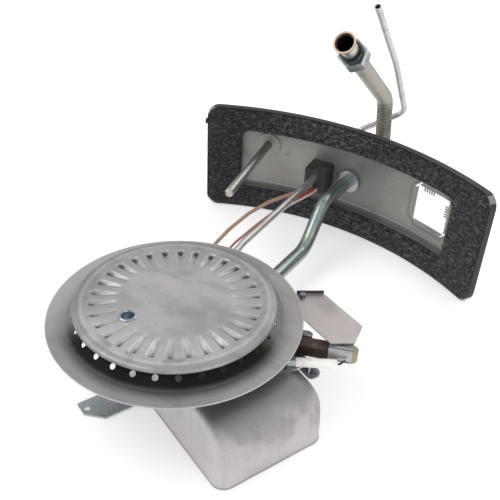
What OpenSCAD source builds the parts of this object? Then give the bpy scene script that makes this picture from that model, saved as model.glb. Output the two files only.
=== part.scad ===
// Burner assembly of a gas water heater: a round stamped burner on a mixing chamber, a pilot,
// and a curved chamber door that carries the gas line, the pilot line and the leads.
// The origin is on the burner's axis, in the plane that the chamber stands on. +Z is up and +Y
// points at the middle of the door.

/* [Burner head] */
// Outer radius of the flange
flange_r = 92; // [89:0.5:95]
// Height of the flange's collar
collar_h = 7.5; // [6.5:0.5:7.5]
// Number of secondary air holes in the collar
collar_holes = 30; // [24:2:32]
// Diameter of a secondary air hole
collar_hole_d = 4.4; // [3:0.2:4.6]
// Outer radius of the cap
cap_r = 72.3; // [72:0.1:74]
// Number of pressed troughs in the cap
troughs = 30; // [24:2:32]
// Distance of the cap's eyelet from the burner's axis
eyelet_reach = 37.2; // [34:0.2:39]
// Thickness of the burner's sheet metal
sheet_t = 0.9; // [0.8:0.1:0.9]

/* [Mixing chamber] */
// Direction in which the chamber's air inlet faces, in degrees from +X
mixer_az = 68.5; // [66:0.5:70]
// Width of the chamber along the inlet's direction
mixer_w = 91; // [88:1:94]
// Length of the chamber across the inlet's direction
mixer_l = 165.5; // [160:0.5:168]
// Height of the chamber above its base plate
mixer_h = 52; // [50:1:52]
// Radius of the air inlet's throat
inlet_r = 16; // [13:0.5:16]

/* [Door] */
// Inner radius of the door's flat sheet
door_r = 281.5; // [280:0.5:283]
// Angle that the door spans around the burner's axis
door_span = 63.9; // [62:0.1:66]
// Height of the door
door_h = 112.5; // [110:0.5:115]
// Thickness of the fibre gasket
gasket_t = 7; // [5:0.5:8]
// Side of the square sight hole
sight_side = 37; // [33:0.5:38]

/* [Lines] */
// Outer diameter of the gas tube inside the door
gas_od = 12.7; // [12:0.1:13]
// Outer diameter of the flexible gas line outside the door
flex_od = 15.9; // [15:0.1:16.2]
// Outer diameter of the pilot tube
pilot_od = 6.35; // [6:0.05:6.5]
// Number of ridges on the flexible section
flex_ridges = 19; // [15:1:22]
// Size across the flats of the gas nut
nut_af = 23.8; // [22:0.1:25]

/* [Hidden] */
$fn = 96;
eps = 0.5;                         // overshoot of a cutter beyond the face that it cuts

// Heights, from the top plane of the burner's flange
ground_z = -75;
base_t = 1;
hood_top = ground_z + base_t + mixer_h;
cap_z = 12;                        // top of the cap's disc
lip_z = collar_h + 0.8;            // top of the pan's lip
pilot_origin = [85.9, 39.9, -15];  // middle of the pilot burner's bar
pilot_az = 21.6;

// Chamber, in the mixer's own frame: X points out of the inlet, Y across it
mixer_x0 = -26.5;
mixer_x1 = mixer_x0 + mixer_w;
mixer_y1 = 64;
mixer_y0 = mixer_y1 - mixer_l;
inlet_y = 40;
inlet_z = -50;
neck_r = 22;

// Door
door_t = 1.2;
door_az0 = 90 - door_span / 2;
door_az1 = 90 + door_span / 2;
door_z0 = ground_z;
door_z1 = door_z0 + door_h;
lip_depth = 6;                     // how far the door's edge turns in
recess_depth = 3;
recess_az0 = 66.9;
recess_az1 = 114.6;
recess_z0 = -52;
recess_z1 = 14;
floor_r = door_r + recess_depth;   // inner face of the recess floor
sight_az = 72.4;
sight_z = -14;
probe_az = 109.2;
probe_z = -2;
grommet_az = 97.1;
grommet_z = -20.5;

// Lines
line_x = -5.5;
line_z = -20;
union_y = floor_r + door_t + 8.8;  // where the gas tube meets the flexible line
gas_path = [
    [line_x, union_y - 0.2, line_z], [line_x, 230, line_z], [0, 190, inlet_z],
    mixer_point(mixer_x1 + 40.1, inlet_y, inlet_z), mixer_point(mixer_x1 + 14.5, inlet_y, inlet_z)
];
bellows_tilt = 12;
bellows_dir = [0, -sin(bellows_tilt), cos(bellows_tilt)];
bellows_foot = [line_x, 355.3, -4];
bellows_l = 43;
flex_corner = bellows_foot + (bellows_l + 9.2) * bellows_dir;
elbow_corner = bellows_foot - (bellows_foot.z - line_z) / bellows_dir.z * bellows_dir;
flex_rise = 38.7;                  // slope of the line's upper end
end_dir = [0, -cos(flex_rise), sin(flex_rise)];
flex_l = 139;
flex_end = flex_corner + flex_l * end_dir;
nut_back = 36;                     // distance of the nut's rear face from the line's open end
pilot_path = [
    pilot_point(-26, 0, 0), pilot_point(-42, 0, 0), [22, 50, -14], [-17, 86, -14], [-24, 121, -15.3],
    door_point(grommet_az, 258, -15.5), door_point(grommet_az, 300, -15.5), [-48, 376, -15.5],
    [5.9, 376, 24.3], [0.7, 345, 82.5], [-1.3, 285, 153.5]
];

// ---- Helpers -------------------------------------------------------------------------------

function unit(v) = v / norm(v);
function mixer_point(x, y, z) = [
    x * cos(mixer_az) - y * sin(mixer_az), x * sin(mixer_az) + y * cos(mixer_az), z
];
function door_point(az, r, z) = [r * cos(az), r * sin(az), z];
function pilot_point(x, y, z) = pilot_origin + [
    x * cos(pilot_az) - y * sin(pilot_az), x * sin(pilot_az) + y * cos(pilot_az), z
];

module mixer_frame() rotate([0, 0, mixer_az]) children();
module pilot_frame() translate(pilot_origin) rotate([0, 0, pilot_az]) children();
module door_frame(az, z) rotate([0, 0, az]) translate([0, 0, z]) children();

// Lifts a sub-part from the flange's frame into the part's own, whose origin is on the ground
module stand() translate([0, 0, -ground_z]) children();

// Turns +Z to point from one place to another
module aim(from, dir) {
    d = unit(dir);
    translate(from) rotate([0, acos(d.z), atan2(d.y, d.x)]) children();
}

// Ring or tube along +Z
module ring(od, id, h) difference() {
    cylinder(d = od, h = h);
    translate([0, 0, -eps]) cylinder(d = id, h = h + 2 * eps);
}

// Section of a round bar, hollow if it has a bore
module wall_section(od, bore) difference() {
    circle(d = od);
    if (bore > 0) circle(d = bore);
}

function turn(p, i) = let (
    u = unit(p[i] - p[i - 1]),
    v = unit(p[i + 1] - p[i])
) acos(u * v);
function setback(p, i, r) = (i == 0 || i == len(p) - 1) ? 0 : r[i] * tan(turn(p, i) / 2);

nest = 0.04;                       // how much slimmer a bend is than the straights it laps into
lap = 0.3;                         // length of a bend inside each straight

// Tube along a line of points, with a round bend of radius r[i] at each inner point
module bent_tube(p, r, od, bore = 0) {
    last = len(p) - 1;
    for (i = [0 : last - 1]) {
        u = unit(p[i + 1] - p[i]);
        start = p[i] + u * setback(p, i, r);
        run = norm(p[i + 1] - p[i]) - setback(p, i, r) - setback(p, i + 1, r);
        aim(start, u) linear_extrude(run) wall_section(od, bore);
    }
    for (i = [1 : last - 1]) {
        u = unit(p[i] - p[i - 1]);
        v = unit(p[i + 1] - p[i]);
        a = turn(p, i);
        m = (v - u * cos(a)) / sin(a);
        c = p[i] - u * setback(p, i, r) + m * r[i];
        k = cross(u, m);
        multmatrix([
            [-m.x, u.x, k.x, c.x],
            [-m.y, u.y, k.y, c.y],
            [-m.z, u.z, k.z, c.z],
            [0, 0, 0, 1]
        ]) rotate([0, 0, -lap / r[i] * 180 / PI])
            rotate_extrude(angle = a + 2 * lap / r[i] * 180 / PI)
                translate([r[i], 0]) wall_section(od - nest, max(bore - nest, 0));
    }
}

// Hex nut blank along +Z
module hex(af, h) cylinder(d = af / cos(30), h = h, $fn = 6);

// Domed hex washer-head screw that points along -Z, with its seat at z = 0
module screw(d, l, head_af, flange_d) {
    translate([0, 0, -l]) cylinder(d = d, h = l + 0.2);
    cylinder(d = flange_d, h = 0.8);
    hex(head_af, 3);
}

// ---- Burner head ---------------------------------------------------------------------------

trough_r = 4;                      // inner radius of a trough
trough_end = 61.5;                 // where a trough ends
trough_tilt = 7.5;
trough_drop = 9.3 + trough_r;      // height of a trough's axis at its outer end

module trough(radius, reach) {
    rotate([0, -90 + trough_tilt, 0]) translate([0, 0, -reach]) cylinder(r = radius, h = 26 + reach);
}

module trough_at(i, radius, reach) rotate([0, 0, i * 360 / troughs + 5])
    translate([trough_end, 0, trough_drop]) trough(radius, reach);

module cap_sheet() rotate_extrude() polygon([
    [0, cap_z - 0.3], [28, cap_z - sheet_t], [61.8, cap_z - sheet_t], [63.6, cap_z],
    [67, cap_z - 0.1], [cap_r - 2.2, cap_z - 0.5], [cap_r - sheet_t, cap_z - 1.2],
    [cap_r - sheet_t, cap_z - 1.9], [cap_r, cap_z - 1.9], [cap_r, cap_z - 0.9],
    [cap_r - 1.5, cap_z + 0.2], [67, cap_z + 0.8],
    [63.6, cap_z + sheet_t], [61.8, cap_z], [28, cap_z], [0, cap_z + 0.6]
]);

// Stamped cap: a plain rim round a ring of troughs that press down to the pan
module burner_cap() color("#a3a19d") difference() {
    union() {
        cap_sheet();
        intersection() {
            for (i = [0 : troughs - 1]) trough_at(i, trough_r + sheet_t, sheet_t);
            cylinder(r = cap_r - 8, h = cap_z - 0.1);
        }
    }
    for (i = [0 : troughs - 1]) trough_at(i, trough_r, 0);
    eyelet_place() cylinder(d = 10.6, h = 40, center = true);
}

module eyelet_place() translate([eyelet_reach * cos(246.8), eyelet_reach * sin(246.8), 0]) children();

// Hollow rivet that ties the cap to the pan
module cap_eyelet() color("#b9c3cb") eyelet_place() rotate_extrude() polygon([
    [4.5, -3.2], [6, -3.2], [6, -2.4], [5.2, -2.4], [5.2, cap_z + 0.8], [6.2, cap_z + 0.8],
    [6.2, cap_z + 1.3], [5.6, cap_z + 1.7], [4.8, cap_z + 1.7], [4.5, cap_z + 1.2]
]);

module eyelet_washer() color("#c4ccd2") eyelet_place()
    translate([0, 0, cap_z]) ring(13.6, 10.5, 0.8);

// Dish under the cap, drawn down into a neck that stands on the chamber
module burner_pan() color("#97958f") difference() {
    rotate_extrude() polygon([
        [neck_r, hood_top], [neck_r + 0.8, hood_top], [neck_r + 0.8, -3.6], [31, -1.6],
        [58, collar_h], [67.5, collar_h], [67.5, lip_z], [57.7, lip_z], [30.5, -0.7], [neck_r, -3]
    ]);
    eyelet_place() cylinder(d = 10.6, h = 40, center = true);
}

// Flat flange whose collar lets secondary air up to the flames
module burner_flange() color("#a8a6a2") difference() {
    rotate_extrude() polygon([
        [60, collar_h - 0.8], [69.6, collar_h - 0.8], [78.1, -0.8], [flange_r, -0.8],
        [flange_r, 0], [78.5, 0], [70, collar_h], [60, collar_h]
    ]);
    for (i = [0 : collar_holes - 1])
        rotate([0, 0, i * 360 / collar_holes + 10]) translate([71.7, 0, 5.6])
            rotate([0, 41, 0]) cylinder(d = collar_hole_d, h = 6, center = true, $fn = 32);
}

// Sleeve inside the pan's neck that reaches down into the chamber
module neck_sleeve() color("#8f8d88") translate([0, 0, hood_top]) rotate_extrude() polygon([
    [neck_r - 0.9, -8], [neck_r - 2.4, -9.5], [neck_r - 1.8, -10.1], [neck_r - 0.05, -8.3],
    [neck_r - 0.05, 17], [neck_r - 0.9, 17]
]);

// ---- Mixing chamber ------------------------------------------------------------------------

// Rounded block: a wide roll over the end away from the inlet and over the inlet's long edge
module hood_block(inset) {
    x0 = mixer_x0 + inset;
    x1 = mixer_x1 - inset;
    y0 = mixer_y0 + inset;
    y1 = mixer_y1 - inset;
    top = hood_top - inset;
    foot_z = ground_z + base_t - (inset > 0 ? eps : 0);
    near = 10 - inset;
    far = 8 - inset;
    wide = 20 - inset;
    roll = 22 - inset;
    hull() {
        for (x = [x0, x1]) {
            side = x == x0 ? 1 : -1;
            translate([x + side * near, y0 + near, foot_z]) cylinder(r = near, h = 16, $fn = 32);
            translate([x + side * far, y1 - far, foot_z]) cylinder(r = far, h = 16, $fn = 32);
            translate([x + side * far, y1 - far, top - far]) sphere(r = far, $fn = 32);
        }
        for (a = [0, 30, 60, 90])
            translate([x0 + far, y0 + roll - 14 * cos(a), top - roll + 14 * sin(a)])
                sphere(r = far, $fn = 32);
        translate([x1 - wide, y0 + wide, top - wide]) sphere(r = wide, $fn = 48);
    }
}

// Deep-drawn hood of the mixing chamber, open at the bottom
module mixer_hood() color("#b5b1ad") mixer_frame() difference() {
    hood_block(0);
    hood_block(sheet_t);
    cylinder(r = neck_r, h = 200, center = true);
    translate([mixer_x1 - 6, inlet_y, inlet_z]) rotate([0, 90, 0]) cylinder(r = inlet_r + 0.05, h = 12);
    for (p = bracket_screw_xy) translate([p.x, p.y, hood_top - 5]) cylinder(d = 4.1, h = 10, $fn = 32);
    bracket_rivet_holes();
    for (z = foot_rivet_z) translate([mixer_x0 - 5, 12, z]) rotate([0, 90, 0])
        cylinder(d = 4.05, h = 10, $fn = 32);
}

// Flat plate that closes the chamber from below
module mixer_base() color("#a6a29d") mixer_frame() translate([0, 0, ground_z])
    linear_extrude(base_t) rounded_plate(mixer_x0, mixer_y0, mixer_x1, mixer_y1, 10);

module rounded_plate(x0, y0, x1, y1, r) {
    translate([x0 + r, y0]) square([x1 - x0 - 2 * r, y1 - y0]);
    translate([x0, y0 + r]) square([x1 - x0, y1 - y0 - 2 * r]);
    for (x = [x0 + r, x1 - r], y = [y0 + r, y1 - r]) translate([x, y]) circle(r = r);
}

// Bell mouth through which air and gas enter
module inlet_bell() color("#9c9a95") mixer_frame() translate([mixer_x1, inlet_y, inlet_z])
    rotate([0, 90, 0]) rotate_extrude() polygon([
        [inlet_r - 0.9, -14], [inlet_r, -14], [inlet_r, 0.05], [inlet_r + 5.5, 0.05],
        [inlet_r + 5.5, 1.1], [inlet_r + 1.4, 1.1], [inlet_r - 0.3, 0.2], [inlet_r - 0.9, -1.4]
    ]);

foot_t = 1.5;
foot_rivet_z = [ground_z + 14, ground_z + 26];

// Angle bracket that locates the chamber's outer side
module support_foot() color("#b4bec4") mixer_frame() difference() {
    union() {
        translate([0, 0, ground_z]) linear_extrude(foot_t) polygon([
            [mixer_x0 - foot_t, 0], [mixer_x0 - foot_t, 24], [-72, 24], [-73, 23], [-73, 12],
            [-61, 0]
        ]);
        translate([mixer_x0 - foot_t, 0, ground_z]) cube([foot_t, 24, 34]);
    }
    translate([-68.5, 16, ground_z]) cylinder(d = 4.5, h = 10, center = true, $fn = 32);
    for (z = foot_rivet_z) translate([mixer_x0 - 5, 12, z]) rotate([0, 90, 0])
        cylinder(d = 4.05, h = 10, $fn = 32);
}

// Blind rivet along +X, whose head stands on x = 0 and points to -X
module rivet(grip) rotate([0, 90, 0]) {
    translate([0, 0, -1.2]) cylinder(d1 = 4.4, d2 = 7, h = 1.2, $fn = 32);
    cylinder(d = 4, h = grip + 1, $fn = 32);
    translate([0, 0, grip]) cylinder(d = 5.6, h = 1.6, $fn = 32);
}

module foot_rivets() color("#9aa1a5") mixer_frame() for (z = foot_rivet_z)
    translate([mixer_x0 - foot_t, 12, z]) rivet(foot_t + sheet_t + 0.07);

// ---- Gas train -----------------------------------------------------------------------------

module gas_tube() color("#a9b2a6")
    bent_tube(gas_path, [0, 34, 34, 30, 0], gas_od, gas_od - 2.4);

// Brass spud on the tube's end, with its jet aimed down the inlet
module gas_orifice() color("#c2a35a") mixer_frame() translate([mixer_x1, inlet_y, inlet_z])
    rotate([0, 90, 0]) difference() {
        union() {
            translate([0, 0, 10]) hex(17, 10);
            translate([0, 0, 5]) cylinder(d1 = 6, d2 = 12, h = 5);
            translate([0, 0, 20]) cylinder(d = 15.5, h = 6);
        }
        translate([0, 0, 14]) cylinder(d = gas_od + 0.1, h = 14);
        translate([0, 0, 9]) cylinder(d = 6, h = 6);
        translate([0, 0, 2]) cylinder(d = 2.4, h = 10);
    }

strap_x = mixer_x1 + 28;
strap_y = inlet_y - 24;

module bracket_rivet_holes() for (z = [-7, 7])
    translate([mixer_x1 - 5, strap_y - 6, inlet_z + z]) rotate([0, 90, 0])
        cylinder(d = 4.05, h = 10, $fn = 32);

// Strap that holds the gas tube in line with the inlet
module orifice_bracket() color("#b4bec4") mixer_frame() difference() {
    union() {
        translate([mixer_x1, strap_y - 12, inlet_z - 12]) cube([1.5, 13.5, 24]);
        translate([mixer_x1, strap_y, inlet_z - 12]) cube([29.5, 1.5, 24]);
        translate([strap_x, strap_y, inlet_z - 12]) cube([1.5, 36, 24]);
    }
    translate([strap_x - 5, inlet_y, inlet_z]) rotate([0, 90, 0]) cylinder(d = gas_od + 0.1, h = 12);
    bracket_rivet_holes();
}

module bracket_rivets() color("#9aa1a5") mixer_frame() for (z = [-7, 7])
    translate([mixer_x1 + 1.5, strap_y - 6, inlet_z + z]) mirror([1, 0, 0])
        rivet(1.5 + sheet_t + 0.07);

// ---- Pilot ---------------------------------------------------------------------------------

bracket_screw_xy = [[34, -24], [34, -54]];
bracket_t = 1.5;
plate_z = hood_top + bracket_t;    // top of the pilot's bracket
ear_xy = [69.9, -73.8];            // ear at the foot of the bracket's leg
ear_z = plate_z - 13.5;
tab_x = -27;                       // upturned tab, in the pilot's frame
thermopile_y = 12;

// Plate on the chamber's top: an upturned tab carries the pilot parts, and a leg that turns down
// over the chamber's edge ends in an ear
module pilot_bracket() color("#b4bec4") difference() {
    union() {
        mixer_frame() translate([0, 0, hood_top]) linear_extrude(bracket_t)
            polygon([[28, -16], [52, -16], [66.2, -31], [66.2, -76], [50, -76], [28, -60]]);
        mixer_frame() translate([mixer_x1 + 0.2, -76, ear_z - bracket_t])
            cube([bracket_t, 12, plate_z - ear_z + bracket_t]);
        mixer_frame() translate([mixer_x1 + 0.2, -76, ear_z - bracket_t]) cube([4, 9, bracket_t]);
        mixer_frame() translate([ear_xy.x, ear_xy.y, ear_z - bracket_t]) cylinder(r = 6, h = bracket_t);
        pilot_frame() translate([tab_x - 9, -14, hood_top - pilot_origin.z]) cube([10.5, 32, bracket_t]);
        pilot_frame() translate([tab_x, -14, hood_top - pilot_origin.z]) cube([bracket_t, 32, 14]);
    }
    mixer_frame() translate([mixer_x1 - 10, -90, ear_z - 5])
        cube([10.2, 30, plate_z - ear_z + 5 - bracket_t]);
    mixer_frame() for (p = bracket_screw_xy)
        translate([p.x, p.y, hood_top - 1]) cylinder(d = 4.1, h = 5, $fn = 32);
    mixer_frame() translate([ear_xy.x, ear_xy.y, ear_z - 3]) cylinder(d = 4.1, h = 5, $fn = 32);
    pilot_frame() for (y = [0, thermopile_y])
        translate([tab_x - 2, y, 0]) rotate([0, 90, 0]) cylinder(d = 8.1, h = 6, $fn = 48);
}

// Two screws hold the bracket down and one sits in its ear
module pilot_screws() color("#8d9396") mixer_frame() {
    for (p = bracket_screw_xy) translate([p.x, p.y, plate_z]) screw(4, 5, 5.5, 7.4);
    translate([ear_xy.x, ear_xy.y, ear_z]) screw(4, 5, 5.5, 7.4);
}

shield_z = -8;

// Bright plate above the pilot that hangs from the flange by a stepped tab
module pilot_shield() color("#d0c8c6") mixer_frame() difference() {
    union() {
        translate([0, 0, shield_z]) linear_extrude(0.8)
            polygon([[112, -32], [112, -77], [95, -88], [80, -79], [80, -20], [94, -21]]);
        translate([80, -40, shield_z]) cube([0.8, 18, -shield_z - 0.8]);
        translate([74, -40, -1.6]) cube([6.8, 18, 0.8]);
        translate([94, -21, shield_z]) rotate([0, 0, -31.4]) translate([0, -0.8, 0])
            cube([21, 0.8, 3.8]);
    }
    translate([95.5, -26.6, shield_z - 1]) cylinder(d = 3.1, h = 3, $fn = 32);
}

module shield_screw() color("#7f8487") mixer_frame() translate([95.5, -26.6, shield_z + 0.8])
    screw(3, 5, 4.4, 5.8);

// Bar-shaped pilot burner with a round front end
module pilot_burner() color("#3a2d26") pilot_frame() difference() {
    union() {
        translate([-25, -5, -4.5]) cube([58, 10, 9]);
        translate([33, 0, -4.5]) cylinder(r = 5, h = 9);
    }
    translate([-26, 0, 0]) rotate([0, 90, 0]) cylinder(d = 4, h = 56, $fn = 48);
}

// Saddle over the bar's ports, with three grooves along its top
module pilot_port_cap() color("#c6c8ca") pilot_frame() difference() {
    translate([17, -6.3, -2]) cube([17, 12.6, 8]);
    translate([16, -5.05, -3]) cube([20, 10.1, 7.55]);
    for (y = [-3, 0, 3]) translate([16, y - 0.6, 5.2]) cube([20, 1.2, 2]);
}

// Compression nut on the end of the pilot tube
module pilot_fitting() color("#b9a25e") pilot_frame() rotate([0, 90, 0]) difference() {
    union() {
        translate([0, 0, -34]) rotate([0, 0, 30]) hex(10, 6.9);
        translate([0, 0, -27.3]) cylinder(d = 8, h = 2.2);
    }
    translate([0, 0, -35]) cylinder(d = pilot_od + 0.1, h = 12, $fn = 64);
}

igniter_foot = [82.8, 20.6, -16.9];
igniter_turn = 32;
igniter_dir = [cos(igniter_turn), sin(igniter_turn), 0];

module igniter_insulator() color("#f1efe9") aim(igniter_foot, igniter_dir) difference() {
    union() {
        cylinder(d = 7, h = 34.4);
        translate([0, 0, 34.4]) cylinder(d1 = 7, d2 = 5.4, h = 1);
    }
    translate([0, 0, -1]) cylinder(d = 1.7, h = 40, $fn = 32);
}

// Spark electrode, bent toward the pilot's flame
module igniter_rod() color("#8c8a86") bent_tube(
    [igniter_foot - 2 * igniter_dir, igniter_foot + 37 * igniter_dir, [116.5, 43.5, -14.3]],
    [0, 2.5, 0], 1.6
);

// Strap over the insulator, with one foot on the bracket
module insulator_clip() color("#aab4ba") translate(igniter_foot) rotate([0, 0, igniter_turn]) {
    foot_z = plate_z - igniter_foot.z;
    difference() {
        union() {
            rotate([0, 90, 0]) cylinder(d = 9, h = 6);
            translate([0, 0, foot_z]) cube([6, 10, 1]);
        }
        translate([-1, 0, 0]) rotate([0, 90, 0]) cylinder(d = 7.1, h = 8);
        translate([-1, -5, foot_z - 5]) cube([8, 7.5, 6.6]);
        translate([-1, -5, foot_z - 5]) cube([8, 20, 5]);
    }
}

module thermopile() color("#8a8f86") pilot_frame() translate([-36, thermopile_y, 0]) rotate([0, 90, 0]) {
    cylinder(d = 5.2, h = 4);
    translate([0, 0, 4]) cylinder(d = 7, h = 33);
    translate([0, 0, 37]) cylinder(d1 = 7, d2 = 4.5, h = 2.5);
}

module thermopile_nut() color("#b9a25e") pilot_frame() translate([-32, thermopile_y, 0])
    rotate([0, 90, 0]) difference() {
        rotate([0, 0, 30]) hex(10, 4.9);
        translate([0, 0, -1]) cylinder(d = 7.1, h = 8);
    }

module pilot_tube() color("#c9c6bf") bent_tube(
    pilot_path, [0, 12, 40, 22, 30, 30, 14, 14, 15, 60, 0], pilot_od, pilot_od - 1.6
);

// ---- Leads ---------------------------------------------------------------------------------

function grommet_point(r, y, z) = [
    r * cos(grommet_az) - y * sin(grommet_az), r * sin(grommet_az) + y * cos(grommet_az), z
];

igniter_lead_d = 3.4;
thin_lead_d = 2.2;
igniter_lead_path = [
    grommet_point(300, 3, -25), grommet_point(255, 3, -25), [-51, 206, -25], [-55, 177, -25],
    [-54, 144, -25], [-50, 119, -24], [-40, 98, -15], [-28, 68, -14], [12, 46, -14], [45, 17, -14],
    [68, 11.5, -14.5], igniter_foot - 2.3 * igniter_dir
];
red_path = [
    grommet_point(300, 0.4, -28.5), grommet_point(255, 0.4, -28.5), [-38, 215, -26], [-36, 165, -22],
    [-32, 122, -18], [-24, 100, -10], [-8, 86, -6.5], [29, 67, -8],
    pilot_point(-39.4, thermopile_y + 1.25, 0), pilot_point(-36.05, thermopile_y + 1.25, 0)
];
white_path = [
    grommet_point(300, -3, -28.5), grommet_point(255, -3, -28.5), [-34.5, 215, -27.5],
    [-32, 165, -24.5], [-28, 122, -21.5], [-15, 100, -20.4], [7, 83, -19.5], [23, 66, -18],
    pilot_point(-41.4, thermopile_y - 1.25, 0), pilot_point(-36.05, thermopile_y - 1.25, 0)
];

module igniter_lead() color("#b98b62")
    bent_tube(igniter_lead_path, [0, 20, 30, 30, 20, 8, 8, 10, 20, 8, 6, 0], igniter_lead_d);
module thermopile_lead_red() color("#b3302a")
    bent_tube(red_path, [0, 20, 30, 30, 8, 6, 8, 8, 1.6, 0], thin_lead_d);
module thermopile_lead_white() color("#e6e3dc")
    bent_tube(white_path, [0, 20, 30, 30, 8, 6, 8, 8, 3, 0], thin_lead_d);

// ---- Door ----------------------------------------------------------------------------------

// Sheet bent round the burner's axis, with rounded corners
module curved_block(r0, r1, az0, az1, z0, z1, corner) {
    step = corner / r0 * 180 / PI;
    difference() {
        rotate([0, 0, az0]) rotate_extrude(angle = az1 - az0, $fn = 200)
            translate([r0, z0]) square([r1 - r0, z1 - z0]);
        corner_cut(r0, r1, az0 + step, z0 + corner, -1, -1, corner);
        corner_cut(r0, r1, az0 + step, z1 - corner, -1, 1, corner);
        corner_cut(r0, r1, az1 - step, z0 + corner, 1, -1, corner);
        corner_cut(r0, r1, az1 - step, z1 - corner, 1, 1, corner);
    }
}

module corner_cut(r0, r1, az, z, sy, sz, corner) door_frame(az, z) difference() {
    translate([r0 - 3, sy > 0 ? 0 : -corner - 2, sz > 0 ? 0 : -corner - 2])
        cube([r1 - r0 + 6, corner + 2, corner + 2]);
    translate([r0 - 4, 0, 0]) rotate([0, 90, 0]) cylinder(r = corner + 0.05, h = r1 - r0 + 8);
}

function arc(length) = length / door_r * 180 / PI;

module recess_block(r0, r1, grow, corner) curved_block(
    r0, r1, recess_az0 - arc(grow), recess_az1 + arc(grow), recess_z0 - grow, recess_z1 + grow, corner
);

module panel_block(r0, r1, inset, corner) curved_block(
    r0, r1, door_az0 + arc(inset), door_az1 - arc(inset), door_z0 + inset, door_z1 - inset, corner
);

// Square window with two fringed edges and a slit at two of its corners
module sight_cut() door_frame(sight_az, sight_z) translate([floor_r - 3, 0, 0]) {
    half = sight_side / 2;
    difference() {
        translate([0, -half, -half]) cube([8, sight_side, sight_side]);
        for (i = [0 : 4]) {
            translate([-1, half - 8 - 2.6 * i, half - 4]) cube([10, 1.1, 5]);
            translate([-1, -half - 1, half - 8 - 2.6 * i]) cube([10, 5, 1.1]);
        }
    }
    for (s = [-1, 1]) translate([0, s * half, s * half]) rotate([45, 0, 0])
        translate([0, -0.6, -5]) cube([8, 1.2, 10]);
    translate([0, -half - 5, half + 3]) rotate([0, 90, 0]) cylinder(d = 3, h = 8, $fn = 32);
}

probe_dir = [-sin(13.1), cos(13.1), 0];
probe_end = [-69, 163, probe_z];
probe_l = 143;
probe_d = 8;

// Curved door of sheet steel: turned-in edge, pressed recess and raised boss for the probe
module door_panel() color("#8f8a84") difference() {
    union() {
        panel_block(door_r - lip_depth + door_t, door_r + door_t, 0, 12);
        recess_block(door_r, floor_r + door_t, door_t, 9.2);
        door_frame(probe_az, probe_z) translate([floor_r - 1.5, 0, 0]) rotate([0, 90, 0])
            cylinder(d = 25, h = 2.4);
    }
    panel_block(door_r - lip_depth - 2, door_r, door_t, 10.8);
    difference() {
        recess_block(door_r - 3, floor_r, 0, 8);
        door_frame(probe_az, probe_z) translate([floor_r - 1.5, 0, 0]) rotate([0, 90, 0])
            cylinder(d = 25, h = 2.4);
    }
    sight_cut();
    door_frame(grommet_az, grommet_z) translate([floor_r - 3, -10, -11.5]) cube([8, 20, 23]);
    translate([line_x, floor_r - 6, line_z]) rotate([-90, 0, 0]) cylinder(d = gas_od + 0.3, h = 12);
    aim(probe_end, probe_dir) cylinder(d = probe_d + 0.4, h = 125);
    for (p = gasket_pin_at) door_frame(p[0], p[1]) translate([door_r - 2, 0, 0]) rotate([0, 90, 0])
        cylinder(d = 3.1, h = 6, $fn = 32);
    door_frame(door_az1, edge_screw_z) translate([279.4, 0, 0]) rotate([-90, 0, 0])
        cylinder(d = 3.1, h = 5, center = true, $fn = 32);
}

gasket_pin_at = [[83.4, 27], [62.5, -20]];
edge_screw_z = 20;

// Fibre frame that seals the door against the chamber's wall
module door_gasket() color("#3b3935") difference() {
    panel_block(door_r - gasket_t, door_r, 2, 10);
    recess_block(door_r - gasket_t - 2, door_r + 2, 0, 8);
    for (p = gasket_pin_at) door_frame(p[0], p[1]) translate([door_r - gasket_t - 2, 0, 0])
        rotate([0, 90, 0]) cylinder(d = 3.1, h = gasket_t + 4, $fn = 32);
}

module gasket_pins() color("#17171a") for (p = gasket_pin_at)
    door_frame(p[0], p[1]) translate([door_r - gasket_t - 0.1, 0, 0]) rotate([0, 90, 0]) {
        translate([0, 0, -0.6]) cylinder(d = 5.4, h = 0.6, $fn = 48);
        cylinder(d = 3, h = gasket_t + 3.6, $fn = 32);
    }

module edge_screw() color("#1b1b1d") door_frame(door_az1, edge_screw_z) translate([279.4, 0, 0])
    rotate([-90, 0, 0]) {
        translate([0, 0, -1.7]) cylinder(d = 3, h = 1.8, $fn = 32);
        translate([0, 0, 0.05]) cylinder(d1 = 6.4, d2 = 4.6, h = 2.2, $fn = 48);
    }

// Rubber block that seals the pilot tube and the leads in the door
module lead_grommet() color("#242426") difference() {
    door_frame(grommet_az, grommet_z) {
        translate([262, -11, -12.5]) cube([22.1, 22, 25]);
        translate([283, -9.9, -11.4]) cube([5, 19.8, 22.8]);
        translate([286, -12, -13.5]) cube([3, 24, 27]);
    }
    aim(door_point(grommet_az, 250, -15.5), door_point(grommet_az, 50, 0))
        cylinder(d = pilot_od + 0.1, h = 60, $fn = 64);
    lead_hole(3, -25, igniter_lead_d);
    lead_hole(0.4, -28.5, thin_lead_d);
    lead_hole(-3, -28.5, thin_lead_d);
}

module lead_hole(y, z, d) door_frame(grommet_az, z) translate([255, y, 0]) rotate([0, 90, 0])
    cylinder(d = d + 0.1, h = 50, $fn = 32);

module gas_collar() color("#a9b2a6") translate([line_x, floor_r - 4.7, line_z]) rotate([-90, 0, 0])
    ring(23, gas_od + 0.1, 4.1);

// Union nut outside the door that joins the gas tube and the flexible line
module gas_union() color("#a9b2a6") translate([line_x, floor_r + door_t + 0.2, line_z])
    rotate([-90, 0, 0]) difference() {
        union() {
            hex(22, 13);
            translate([0, 0, 13]) cylinder(d = 19, h = 3);
        }
        translate([0, 0, -1]) cylinder(d = gas_od + 0.1, h = 20);
        translate([0, 0, union_y - floor_r - door_t - 0.2]) cylinder(d = flex_od + 0.1, h = 20);
    }

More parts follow.
